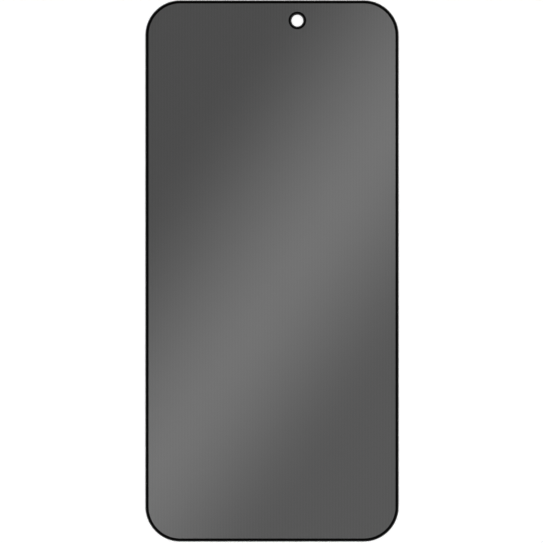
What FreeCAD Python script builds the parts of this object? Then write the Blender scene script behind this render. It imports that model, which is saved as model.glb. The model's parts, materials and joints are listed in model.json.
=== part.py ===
# Privacy screen protector for a phone, out of its packing: one bonded sheet of tempered glass on dark film.
# Millimetres. The sheet lies on its adhesive face, with its outer face up.
# +X is the user's right, +Y the earpiece end, +Z out of the outer face. The origin is the middle of the
# adhesive face.
import FreeCAD
import Part
import math
import os

from FreeCAD import Vector

# Outline, seen from above
width = 68.6
length = 146.6
corner_radius = 9.5

# Section: the glass overhangs the film all round, and its outer edge is ground to a shallow arc
# that runs down from the flat outer face to a narrow upright land
glass_thickness = 0.33
film_thickness = 0.12
film_inset = 0.20
edge_width = 0.80
edge_land = 0.10

# Hole for the front camera, placed from the centre line and from the top edge
hole_diameter = 3.20
hole_right_of_centre = 6.85
hole_below_top = 5.50

thickness = film_thickness + glass_thickness
hole_radius = hole_diameter / 2
hole_centre = Vector(hole_right_of_centre, length / 2 - hole_below_top, 0)
up = Vector(0, 0, 1)


def rounded_rectangle(inset):
    """Closed wire of the outline moved inwards, in the plane of the adhesive face.

    It starts in the middle of the lower side and runs to the right, so a section set up there
    is square to it."""
    radius = corner_radius - inset
    centre_x = width / 2 - corner_radius
    centre_y = length / 2 - corner_radius
    centres = ((centre_x, -centre_y), (centre_x, centre_y), (-centre_x, centre_y), (-centre_x, -centre_y))
    start = Vector(0, inset - length / 2, 0)
    edges = []
    last = start
    for quarter, (x, y) in enumerate(centres):
        begin, middle, end = (
            Vector(x, y, 0) + Vector(math.cos(angle), math.sin(angle), 0) * radius
            for angle in (math.radians(90 * (quarter - 1) + turn) for turn in (0, 45, 90))
        )
        edges.append(Part.LineSegment(last, begin).toShape())
        edges.append(Part.Arc(begin, middle, end).toShape())
        last = end
    edges.append(Part.LineSegment(last, start).toShape())
    return Part.Wire(edges)


def edge_section(origin, inwards):
    """Closed wire of the sheet's edge, cut square across it.

    origin is the point of the outline under the section, and inwards points into the sheet."""

    def point(depth, height):
        return origin + inwards * depth + up * height

    shoulder = film_thickness + edge_land
    drop = thickness - shoulder
    arc_radius = (edge_width**2 + drop**2) / (2 * drop)
    half_turn = math.asin(edge_width / arc_radius) / 2
    arc_middle = point(
        edge_width - arc_radius * math.sin(half_turn),
        thickness - arc_radius * (1 - math.cos(half_turn)),
    )
    corners = [
        point(0, shoulder),
        point(0, film_thickness),
        point(film_inset, film_thickness),
        point(film_inset, 0),
        point(edge_width, 0),
        point(edge_width, thickness),
    ]
    edges = [Part.LineSegment(a, b).toShape() for a, b in zip(corners, corners[1:])]
    edges.append(Part.Arc(corners[-1], arc_middle, corners[0]).toShape())
    return Part.Wire(edges)


def middle_sheet():
    """The flat sheet between the ground edges of the outline and of the camera hole."""
    opening = Part.Wire([Part.makeCircle(hole_radius + edge_width, hole_centre)])
    outline = rounded_rectangle(edge_width)
    return Part.Face(outline).cut(Part.Face(opening)).extrude(up * thickness)


def outline_edge():
    """The ground edge swept round the outline."""
    section = edge_section(Vector(0, -length / 2, 0), Vector(0, 1, 0))
    return rounded_rectangle(0).makePipeShell([section], True, False)


def hole_edge():
    """The same ground edge turned round the camera hole."""
    section = edge_section(hole_centre + Vector(hole_radius, 0, 0), Vector(1, 0, 0))
    return Part.Face(section).revolve(hole_centre, up, 360)


def screen_protector():
    """The whole sheet: its middle and its two ground edges are one piece of glass and film."""
    sheet = middle_sheet().multiFuse([outline_edge(), hole_edge()])
    return sheet.removeSplitter()


os.makedirs("parts", exist_ok=True)
protector = screen_protector()
protector.exportStep("parts/screen_protector.step")
print("solids", len(protector.Solids), "valid", protector.isValid())
print("volume", round(protector.Volume, 2), "mm3")
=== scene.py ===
import bpy
import json
import math
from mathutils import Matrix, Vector


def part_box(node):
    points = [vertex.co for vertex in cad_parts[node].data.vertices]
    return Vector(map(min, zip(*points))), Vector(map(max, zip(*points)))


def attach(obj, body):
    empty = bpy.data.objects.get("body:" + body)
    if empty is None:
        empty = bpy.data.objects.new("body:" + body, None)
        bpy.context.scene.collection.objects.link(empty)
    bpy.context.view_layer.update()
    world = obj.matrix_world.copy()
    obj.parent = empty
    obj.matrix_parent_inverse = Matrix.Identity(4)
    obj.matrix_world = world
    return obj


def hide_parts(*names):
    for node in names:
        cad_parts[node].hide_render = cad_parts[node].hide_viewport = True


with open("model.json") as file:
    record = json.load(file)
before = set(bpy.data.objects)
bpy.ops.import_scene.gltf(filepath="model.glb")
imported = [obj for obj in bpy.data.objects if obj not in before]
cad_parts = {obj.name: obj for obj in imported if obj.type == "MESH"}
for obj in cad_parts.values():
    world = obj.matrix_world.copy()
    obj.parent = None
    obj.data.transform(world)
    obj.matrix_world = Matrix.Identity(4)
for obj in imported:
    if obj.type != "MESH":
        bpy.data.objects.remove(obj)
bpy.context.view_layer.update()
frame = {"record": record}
mm = 0.001  # sizes below are in millimetres, and Blender works in metres
hair = 1e-7  # metres: places closer than this count as one
white = (1, 1, 1, 1)


# The sheet: glass with a ground edge, on film that stops a little short of the outline
sheet = {
    "cornerRadius": 9.5,
    "cornerSteps": 48,
    "filmThickness": 0.12,
    "filmInset": 0.20,
    "edgeWidth": 0.80,  # the ground edge, seen from above
    "edgeLand": 0.10,  # the upright part of the edge that grinding leaves
    "edgeSteps": 10,
    "inkLap": 0.09,  # how far the ink of the outline runs in over the flat face
    "holeCell": 7.0,  # side of the square that the camera hole is worked into
    "holeSteps": 96,
    "smoothAngle": 30.0,  # degrees: faces that meet at less are shaded as one curve
    "netGap": 1.0,  # between the parts of the UV net
    "netZoom": 3.0,  # the hole is this much larger on that net
}

low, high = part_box("screen_protector")
hole = next(mount for mount in frame["record"]["mounts"] if mount["name"] == "camera_hole")
cornerRadius = sheet["cornerRadius"] * mm
cornerCentre = high - Vector((cornerRadius, cornerRadius, 0))
filmTop = low.z + sheet["filmThickness"] * mm
shoulder = filmTop + sheet["edgeLand"] * mm  # where the ground edge starts to lean in
holeCentre = Vector((hole["pos_m"][0], hole["pos_m"][1], filmTop))
holeRadius = hole["dims"]["r_mm"] * mm
halfCell = sheet["holeCell"] * mm / 2
ink, glass, film = range(3)  # the sheet's material slots


def selectFaces(piece, test):
    bpy.ops.mesh.select_mode(type="FACE")
    bpy.ops.mesh.select_all(action="DESELECT")
    bpy.ops.object.mode_set(mode="OBJECT")
    for face in piece.data.polygons:
        face.select = test(face)
    bpy.ops.object.mode_set(mode="EDIT")


def selectEdges(piece, test):
    bpy.ops.mesh.select_mode(type="EDGE")
    bpy.ops.mesh.select_all(action="DESELECT")
    bpy.ops.object.mode_set(mode="OBJECT")
    for edge in piece.data.edges:
        edge.select = all(test(piece.data.vertices[i].co) for i in edge.vertices)
    bpy.ops.object.mode_set(mode="EDIT")


def cutAcross(place, direction):
    bpy.ops.mesh.select_all(action="SELECT")
    bpy.ops.mesh.bisect(plane_co=place, plane_no=direction)


def inHoleCell(place):
    reach = place - holeCentre
    return max(abs(reach.x), abs(reach.y)) < halfCell + hair


def fromCorners(place):
    # the way out to a place from the nearest point of the rectangle that joins the corners' centres
    nearest = Vector(min(max(at, -limit), limit) for at, limit in zip(place.xy, cornerCentre.xy))
    return place.xy - nearest


def addOutline():
    # the glass outline, laid flat and cut across at the centres of its corners
    bpy.ops.object.select_all(action="DESELECT")
    bpy.ops.mesh.primitive_plane_add(size=1, location=(0, 0, filmTop))
    piece = bpy.context.object
    piece.name = piece.data.name = "protector_sheet"
    piece.scale = (high.x - low.x, high.y - low.y, 1)
    bpy.ops.object.transform_apply(location=True, rotation=True, scale=True)
    bpy.ops.object.mode_set(mode="EDIT")
    bpy.ops.mesh.select_mode(type="VERT")
    bpy.ops.mesh.select_all(action="SELECT")
    bpy.ops.mesh.bevel(
        affect="VERTICES", offset=cornerRadius, segments=sheet["cornerSteps"], profile=0.5,  # 0.5 is round
    )
    for direction in ((1, 0, 0), (0, 1, 0)):
        cutAcross(cornerCentre, direction)
        cutAcross(-cornerCentre, direction)
    return piece


def addCameraHole(piece):
    # four cuts leave a square round the hole, and a ring of faces then joins that square to a circle
    for direction in ((1, 0, 0), (-1, 0, 0), (0, 1, 0), (0, -1, 0)):
        cutAcross(holeCentre + halfCell * Vector(direction), direction)
    selectFaces(piece, lambda face: inHoleCell(face.center))
    bpy.ops.mesh.delete(type="ONLY_FACE")
    selectEdges(piece, inHoleCell)
    bpy.ops.mesh.subdivide(number_cuts=sheet["holeSteps"] // 4 - 1)
    # the circle starts above the square, so that the bridge runs the right way round, then it is pressed flat
    bpy.ops.mesh.primitive_circle_add(
        vertices=sheet["holeSteps"], radius=holeRadius, location=holeCentre + Vector((0, 0, holeRadius)),
    )
    selectEdges(piece, inHoleCell)
    bpy.ops.mesh.bridge_edge_loops()
    bpy.ops.mesh.select_all(action="SELECT")
    bpy.ops.transform.resize(value=(1, 1, 0), center_override=holeCentre)


def thickenSheet(piece):
    # up from the film to the shoulder, by a modifier because extrude orders its walls anew in each run
    bpy.ops.object.mode_set(mode="OBJECT")
    bpy.ops.object.modifier_add(type="SOLIDIFY")
    solidify = piece.modifiers[-1]
    solidify.thickness = shoulder - filmTop
    solidify.offset = 1  # all of it on the outer side
    bpy.ops.object.modifier_apply(modifier=solidify.name)
    bpy.ops.object.mode_set(mode="EDIT")


def grindEdge():
    # steps the selected face in and up along a shallow arc that ends level with the flat outer face
    width = sheet["edgeWidth"] * mm
    drop = high.z - shoulder
    radius = (width ** 2 + drop ** 2) / (2 * drop)
    slope = math.asin(width / radius)
    angles = [slope * (1 - i / sheet["edgeSteps"]) for i in range(sheet["edgeSteps"] + 1)]
    for steep, shallow in zip(angles, angles[1:]):
        bpy.ops.mesh.inset(
            thickness=radius * (math.sin(steep) - math.sin(shallow)),
            depth=radius * (math.cos(shallow) - math.cos(steep)),
        )
    bpy.ops.mesh.inset(thickness=sheet["inkLap"] * mm, depth=0)  # also keeps the shading of the face flat


def modelSheet():
    piece = addOutline()
    addCameraHole(piece)
    bpy.ops.mesh.select_mode(type="FACE")
    bpy.ops.mesh.select_all(action="SELECT")
    bpy.ops.mesh.normals_make_consistent(inside=False)
    print("sheet: outline and camera hole")

    thickenSheet(piece)
    selectFaces(piece, lambda face: face.center.z > shoulder - hair)
    grindEdge()
    print("sheet: ground edges")

    selectFaces(piece, lambda face: face.center.z < filmTop + hair)
    bpy.ops.mesh.inset(thickness=sheet["filmInset"] * mm, depth=0)
    bpy.ops.mesh.inset(thickness=0, depth=filmTop - low.z)  # straight down, as deep as the film is thick
    bpy.ops.mesh.select_all(action="SELECT")
    bpy.ops.mesh.normals_make_consistent(inside=False)
    selectFaces(piece, lambda face: len(face.vertices) > 4)
    bpy.ops.mesh.quads_convert_to_tris(ngon_method="BEAUTY")  # fans in the corners and beside the hole
    bpy.ops.object.mode_set(mode="OBJECT")
    print("sheet: film,", len(piece.data.polygons), "faces")
    return piece


def hexColour(code):
    # sRGB hex, as a colour picker gives it, to the linear values that shaders take
    parts = [int(code[i:i + 2], 16) / 255 for i in (1, 3, 5)]
    return (*(p / 12.92 if p <= 0.04045 else ((p + 0.055) / 1.055) ** 2.4 for p in parts), 1.0)


def addNode(tree, kind, settings=(), values=(), links=()):
    # one node, with its settings, the values typed into its sockets and what is plugged into them
    node = tree.nodes.new(kind)
    for name, setting in dict(settings).items():
        setattr(node, name, setting)
    for name, value in dict(values).items():
        node.inputs[name].default_value = value
    for name, source in dict(links).items():
        tree.links.new(source, node.inputs[name])
    return node


def startMaterial(name):
    material = bpy.data.materials.new(name)
    material.use_nodes = True
    material.node_tree.nodes.clear()
    return material, material.node_tree


def louvreTint(tree, place, look):
    # the film's light-blocking slats, as upright lines that differ a little from the tint between them
    lines = addNode(
        tree, "ShaderNodeTexWave",
        {"wave_type": "BANDS", "bands_direction": "X", "wave_profile": "SIN"},
        {"Scale": math.pi / 10 / (look["louvrePitch"] * mm)},  # bands repeat every pi / 10 / scale
        {"Vector": place},
    )
    tint = addNode(
        tree, "ShaderNodeMix", {"data_type": "RGBA"},
        {6: hexColour(look["film"]), 7: hexColour(look["louvre"])},
        {0: lines.outputs["Fac"]},
    )
    return tint.outputs[2]


def patchyRoughness(tree, place, look):
    # dull and bright patches of the given size
    patches = addNode(
        tree, "ShaderNodeTexNoise", {},
        {"Scale": 1 / (look["patch"] * mm), "Detail": 4.0, "Roughness": 0.6},
        {"Vector": place},
    )
    bright, dull = look["roughness"]
    dullness = addNode(
        tree, "ShaderNodeMapRange", {},
        {"From Min": 0.3, "From Max": 0.7, "To Min": bright, "To Max": dull},  # most noise is from 0.3 to 0.7
        {"Value": patches.outputs["Fac"]},
    )
    return dullness.outputs["Result"]


def wavyNormal(tree, place, look):
    # shallow waves of the given length and height
    waves = addNode(
        tree, "ShaderNodeTexNoise", {},
        {"Scale": 1 / (look["waveLength"] * mm), "Detail": 1.0},
        {"Vector": place},
    )
    bump = addNode(
        tree, "ShaderNodeBump", {},
        {"Strength": 1.0, "Distance": look["waveHeight"] * mm},
        {"Height": waves.outputs["Fac"]},
    )
    return bump.outputs["Normal"]


# Tempered glass bonded on privacy film. The eye sees the dark film, with the faint upright lines of its
# louvres, through a polished face that mirrors the room as any pane does.
tintedGlass = {
    "film": "#434343",
    "louvre": "#404040",
    "louvrePitch": 0.8,  # really about 0.1 mm, drawn coarser so that it can show at all
    "ior": 1.52,
    "patch": 14.0,  # the grease-proof coating is a little duller in patches
    "roughness": (0.045, 0.075),
    "waveLength": 9.0,  # thin glass is never quite flat
    "waveHeight": 0.002,
}


def makeTintedGlass():
    material, tree = startMaterial("tempered_glass_on_privacy_film")
    place = addNode(tree, "ShaderNodeTexCoord").outputs["Object"]
    shader = addNode(
        tree, "ShaderNodeBsdfPrincipled", {},
        {"IOR": tintedGlass["ior"]},
        {
            "Base Color": louvreTint(tree, place, tintedGlass),
            "Roughness": patchyRoughness(tree, place, tintedGlass),
            "Normal": wavyNormal(tree, place, tintedGlass),
        },
    )
    addNode(tree, "ShaderNodeOutputMaterial", links={"Surface": shader.outputs[0]})
    return material


# Black ceramic ink, screen-printed along the ground edge. It is dense and takes almost no shine. Towards the
# rim its colour is a painted highlight, paler grey, standing in for the light that the ground glass edge
# catches.
edgeInk = {
    "colour": "#030303",
    # painted highlight: the paler colour at the rim stands in for light caught by the ground glass edge
    "rimHighlight": "#585858",
    "rimHighlightHeight": 0.16,  # from the upright land to where the painted highlight gives way to full ink
    "ior": 1.45,
    "specular": 0.02,
    "patch": 0.4,  # grit of the print
    "roughness": (0.42, 0.58),
}


def inkWithPaintedRimHighlight(tree, place, look):
    # painted highlight: pale grey at the rim, fading to full black ink by height up the ground edge
    height = addNode(tree, "ShaderNodeSeparateXYZ", links={"Vector": place}).outputs["Z"]
    highlightFade = addNode(
        tree, "ShaderNodeMapRange", {},
        {"From Min": shoulder, "From Max": shoulder + look["rimHighlightHeight"] * mm},
        {"Value": height},
    )
    tint = addNode(
        tree, "ShaderNodeMix", {"data_type": "RGBA"},
        {6: hexColour(look["rimHighlight"]), 7: hexColour(look["colour"])},
        {0: highlightFade.outputs["Result"]},
    )
    return tint.outputs[2]


def makeEdgeInk():
    material, tree = startMaterial("black_ceramic_ink_and_painted_rim_highlight")
    place = addNode(tree, "ShaderNodeTexCoord").outputs["Object"]
    shader = addNode(
        tree, "ShaderNodeBsdfPrincipled", {},
        {"IOR": edgeInk["ior"], "Specular IOR Level": edgeInk["specular"]},
        {
            "Base Color": inkWithPaintedRimHighlight(tree, place, edgeInk),
            "Roughness": patchyRoughness(tree, place, edgeInk),
        },
    )
    addNode(tree, "ShaderNodeOutputMaterial", links={"Surface": shader.outputs[0]})
    return material


# Polyester privacy film with silicone adhesive on its back: dark, a little soft to the eye, with the
# shallow orange peel of a coated web.
adhesiveFilm = {
    "film": "#2a2a2b",
    "louvre": "#242425",
    "louvrePitch": 0.8,  # as on the glass
    "ior": 1.41,
    "roughness": 0.28,
    "waveLength": 1.6,
    "waveHeight": 0.004,
}


def makeAdhesiveFilm():
    material, tree = startMaterial("polyester_film_with_silicone_adhesive")
    place = addNode(tree, "ShaderNodeTexCoord").outputs["Object"]
    shader = addNode(
        tree, "ShaderNodeBsdfPrincipled", {},
        {"IOR": adhesiveFilm["ior"], "Roughness": adhesiveFilm["roughness"]},
        {
            "Base Color": louvreTint(tree, place, adhesiveFilm),
            "Normal": wavyNormal(tree, place, adhesiveFilm),
        },
    )
    addNode(tree, "ShaderNodeOutputMaterial", links={"Surface": shader.outputs[0]})
    return material


def dressSheet(piece):
    # film on the back, ink on the ground edges and on a narrow lap inside the outline, glass for the rest
    for makeMaterial in (makeEdgeInk, makeTintedGlass, makeAdhesiveFilm):
        piece.data.materials.append(makeMaterial())
    inkWidth = (sheet["edgeWidth"] + sheet["inkLap"]) * mm
    for face in piece.data.polygons:
        fromOutline = cornerRadius - fromCorners(face.center).length
        if face.center.z < filmTop - hair:
            face.material_index = film
        elif face.center.z > high.z - hair and fromOutline > inkWidth:
            face.material_index = glass
        else:
            face.material_index = ink
    bpy.ops.object.shade_smooth_by_angle(angle=math.radians(sheet["smoothAngle"]))
    print("sheet: materials")


def unfoldSheet(piece):
    # The flat UV net that the materials are painted on to, under this name: the outer face with the edge
    # folded out round it, then the film's face, then the hole, enlarged to keep its ring round.
    gap = sheet["netGap"] * mm
    filmShift = Vector((2 * high.x + 2 * gap, 0))
    holeShift = Vector((3 * high.x + 3 * gap + halfCell * sheet["netZoom"], 0))

    def unfold(place, depth):
        # depth in from the edge's line, below 0 for what is folded out from under the shoulder
        return depth if place.z > shoulder - hair else place.z - shoulder - depth

    def onNet(face, place):
        if face.center.z < low.z + hair:
            return filmShift + Vector((-place.x, place.y))
        if inHoleCell(face.center):
            reach = (place - holeCentre).xy
            depth = unfold(place, reach.length - holeRadius)
            return holeShift + reach.normalized() * (holeRadius + depth) * sheet["netZoom"]
        reach = fromCorners(place)
        depth = unfold(place, cornerRadius - reach.length)
        return place.xy - reach + reach.normalized() * (cornerRadius - depth)

    places = {}
    for face in piece.data.polygons:
        for loop, vertex in zip(face.loop_indices, face.vertices):
            places[loop] = onNet(face, piece.data.vertices[vertex].co)
    start = Vector(min(place[axis] for place in places.values()) - gap for axis in range(2))
    side = max(max(place[axis] for place in places.values()) - start[axis] for axis in range(2)) + gap
    net = piece.data.uv_layers.active
    net.name = "OFBake"
    for loop, place in places.items():
        net.uv[loop].vector = (place - start) / side
    print("sheet: net,", round(side / mm), "mm square")


piece = modelSheet()
dressSheet(piece)
unfoldSheet(piece)
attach(piece, "root")
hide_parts("screen_protector")


# The photograph's view: square on to the outer face, with the earpiece end at the top
shot = {
    "lens": 100.0,
    "sensor": 36.0,
    "imageSide": 543,  # pixels
    "sheetLength": 541.6,  # pixels from the sheet's top edge to its bottom edge
    "sheetMiddle": (272.03, 270.96),  # pixels from the image's left and top edges
}


def addCamera():
    pixel = (high.y - low.y) / shot["sheetLength"]
    distance = shot["imageSide"] * pixel * shot["lens"] / shot["sensor"]
    right, down = (place - shot["imageSide"] / 2 for place in shot["sheetMiddle"])
    bpy.ops.object.camera_add(location=(-right * pixel, down * pixel, high.z + distance), rotation=(0, 0, 0))
    camera = bpy.context.object
    camera.data.lens = shot["lens"]
    camera.data.sensor_width = shot["sensor"]
    bpy.context.scene.camera = camera
    print("camera:", round(distance / mm), "mm above the sheet")
    return distance


# A white table in a white room, inside a light tent. What shows as sheen on the glass is the mirror image
# of the tent's cloth, which is lit in broad soft bands.
studio = {
    "floorSize": 2400.0,
    "floorDrop": 0.02,  # keeps the table's face clear of the sheet's
    "floorColour": "#e8e8e8",
    "floorRoughness": 0.9,
    "floorGlow": 0.25,  # only for the eye: it whitens the table and lights nothing
    "roomLevel": 1.0,
    "tentRadius": 1500.0,
    "tentHeight": 1200.0,
    "tentSteps": 128,
    "wallBands": 11,  # bright bands, counted right round
    "wallLean": 600.0,  # a band moves on to the place of the next in this height
    "wallTurn": -9.5,  # degrees that the bands are turned round the table
    "wallLevels": (0.30, 1.05),  # between the bands and in them
    "roofTurn": 35.0,  # degrees that the roof's bands are turned from the sheet's long sides
    "roofRise": (-41.9, 8.6),  # where the sheet's middle brightens, measured across the bands
    "roofFall": (1.5, 41.9),  # where it fades again
    "roofSpan": 85.0,  # beyond this far from the middle, clear of the sheet, the bands come again
    "roofDark": 0.47,  # the level before the band
    "roofGain": 2.41,  # what the rise adds to it
    "roofLoss": 1.86,  # what the fall takes off again
}


def forTheEye(tree):
    # 1 for what the camera sees straight, in a mirror or through glass, and 0 for light on its way
    path = addNode(tree, "ShaderNodeLightPath").outputs
    mirrored = addNode(
        tree, "ShaderNodeMath", {"operation": "MAXIMUM"}, {},
        {0: path["Is Glossy Ray"], 1: path["Is Transmission Ray"]},
    )
    seen = addNode(
        tree, "ShaderNodeMath", {"operation": "MAXIMUM"}, {},
        {0: path["Is Camera Ray"], 1: mirrored.outputs[0]},
    )
    return seen.outputs[0]


def addFloor():
    bpy.ops.object.select_all(action="DESELECT")
    bpy.ops.mesh.primitive_plane_add(
        size=studio["floorSize"] * mm, location=(0, 0, -studio["floorDrop"] * mm),
    )
    floor = bpy.context.object
    floor.name = "floor"
    material, tree = startMaterial("white_laminate")
    glow = addNode(
        tree, "ShaderNodeMath", {"operation": "MULTIPLY"}, {1: studio["floorGlow"]}, {0: forTheEye(tree)},
    )
    shader = addNode(
        tree, "ShaderNodeBsdfPrincipled", {},
        {
            "Base Color": hexColour(studio["floorColour"]),
            "Roughness": studio["floorRoughness"],
            "Specular IOR Level": 0.0,
            "Emission Color": white,
        },
        {"Emission Strength": glow.outputs[0]},
    )
    addNode(tree, "ShaderNodeOutputMaterial", links={"Surface": shader.outputs[0]})
    floor.data.materials.append(material)


def addRoom():
    world = bpy.data.worlds.new("white_room")
    world.use_nodes = True
    world.node_tree.nodes.clear()
    light = addNode(
        world.node_tree, "ShaderNodeBackground", {},
        {"Color": white, "Strength": studio["roomLevel"]},
    )
    addNode(world.node_tree, "ShaderNodeOutputWorld", links={"Surface": light.outputs[0]})
    bpy.context.scene.world = world


def hangCloth(name, material, tree, level):
    # the tent's cloth glows, and the camera looks in through it
    cloth = bpy.context.object
    cloth.name = name
    cloth.visible_camera = False
    light = addNode(tree, "ShaderNodeEmission", {}, {"Color": white}, {"Strength": level})
    addNode(tree, "ShaderNodeOutputMaterial", links={"Surface": light.outputs[0]})
    cloth.data.materials.append(material)


def addTentWall():
    # leaning bands, as many as fit round the table
    height = studio["tentHeight"] * mm
    bpy.ops.object.select_all(action="DESELECT")
    bpy.ops.mesh.primitive_cylinder_add(
        vertices=studio["tentSteps"], radius=studio["tentRadius"] * mm, depth=height,
        end_fill_type="NOTHING", location=(0, 0, height / 2),
    )
    bpy.ops.object.transform_apply(location=True, rotation=True, scale=True)
    material, tree = startMaterial("banded_tent_cloth")
    place = addNode(tree, "ShaderNodeTexCoord").outputs["Object"]
    axes = addNode(tree, "ShaderNodeSeparateXYZ", links={"Vector": place}).outputs
    around = addNode(tree, "ShaderNodeMath", {"operation": "ARCTAN2"}, {}, {0: axes["Y"], 1: axes["X"]})
    upright = addNode(
        tree, "ShaderNodeMath", {"operation": "MULTIPLY_ADD"},
        {1: studio["wallBands"], 2: studio["wallBands"] * math.radians(studio["wallTurn"])},
        {0: around.outputs[0]},
    )
    leaning = addNode(
        tree, "ShaderNodeMath", {"operation": "MULTIPLY_ADD"},
        {1: math.tau / (studio["wallLean"] * mm)},
        {0: axes["Z"], 2: upright.outputs[0]},
    )
    wave = addNode(tree, "ShaderNodeMath", {"operation": "COSINE"}, {}, {0: leaning.outputs[0]})
    dark, bright = studio["wallLevels"]
    level = addNode(
        tree, "ShaderNodeMapRange", {},
        {"From Min": -1.0, "From Max": 1.0, "To Min": dark, "To Max": bright},
        {"Value": wave.outputs[0]},
    )
    hangCloth("tent_wall", material, tree, level.outputs["Result"])


def addTentRoof(distance):
    # one bright band across the middle, which the camera sees in the sheet, and its like on each side
    bpy.ops.object.select_all(action="DESELECT")
    bpy.ops.mesh.primitive_circle_add(
        vertices=studio["tentSteps"], radius=studio["tentRadius"] * mm,
        fill_type="NGON", location=(0, 0, studio["tentHeight"] * mm),
    )
    material, tree = startMaterial("graded_tent_cloth")
    place = addNode(tree, "ShaderNodeTexCoord").outputs["Object"]
    enlarged = mm * (1 + studio["tentHeight"] * mm / distance)  # from the sheet to the roof that it mirrors
    span = studio["roofSpan"] * enlarged
    turned = addNode(
        tree, "ShaderNodeMapping", {"vector_type": "POINT"},
        {"Rotation": (0, 0, math.radians(studio["roofTurn"])), "Location": (span, 0, 0)},
        {"Vector": place},
    )
    across = addNode(tree, "ShaderNodeSeparateXYZ", links={"Vector": turned.outputs[0]}).outputs["X"]
    folded = addNode(tree, "ShaderNodeMath", {"operation": "PINGPONG"}, {1: 2 * span}, {0: across})
    flanks = []
    for edges, start, end in (
        (studio["roofRise"], studio["roofDark"], studio["roofDark"] + studio["roofGain"]),
        (studio["roofFall"], 0.0, -studio["roofLoss"]),
    ):
        near, far = (span + edge * enlarged for edge in edges)
        flank = addNode(
            tree, "ShaderNodeMapRange", {"interpolation_type": "SMOOTHSTEP"},
            {"From Min": near, "From Max": far, "To Min": start, "To Max": end},
            {"Value": folded.outputs[0]},
        )
        flanks.append(flank.outputs["Result"])
    level = addNode(tree, "ShaderNodeMath", {"operation": "ADD"}, {}, {0: flanks[0], 1: flanks[1]})
    hangCloth("tent_roof", material, tree, level.outputs[0])


distance = addCamera()
addFloor()
addRoom()
addTentWall()
addTentRoof(distance)
bpy.context.scene.view_settings.view_transform = "Standard"
print("studio: floor, room and light tent")
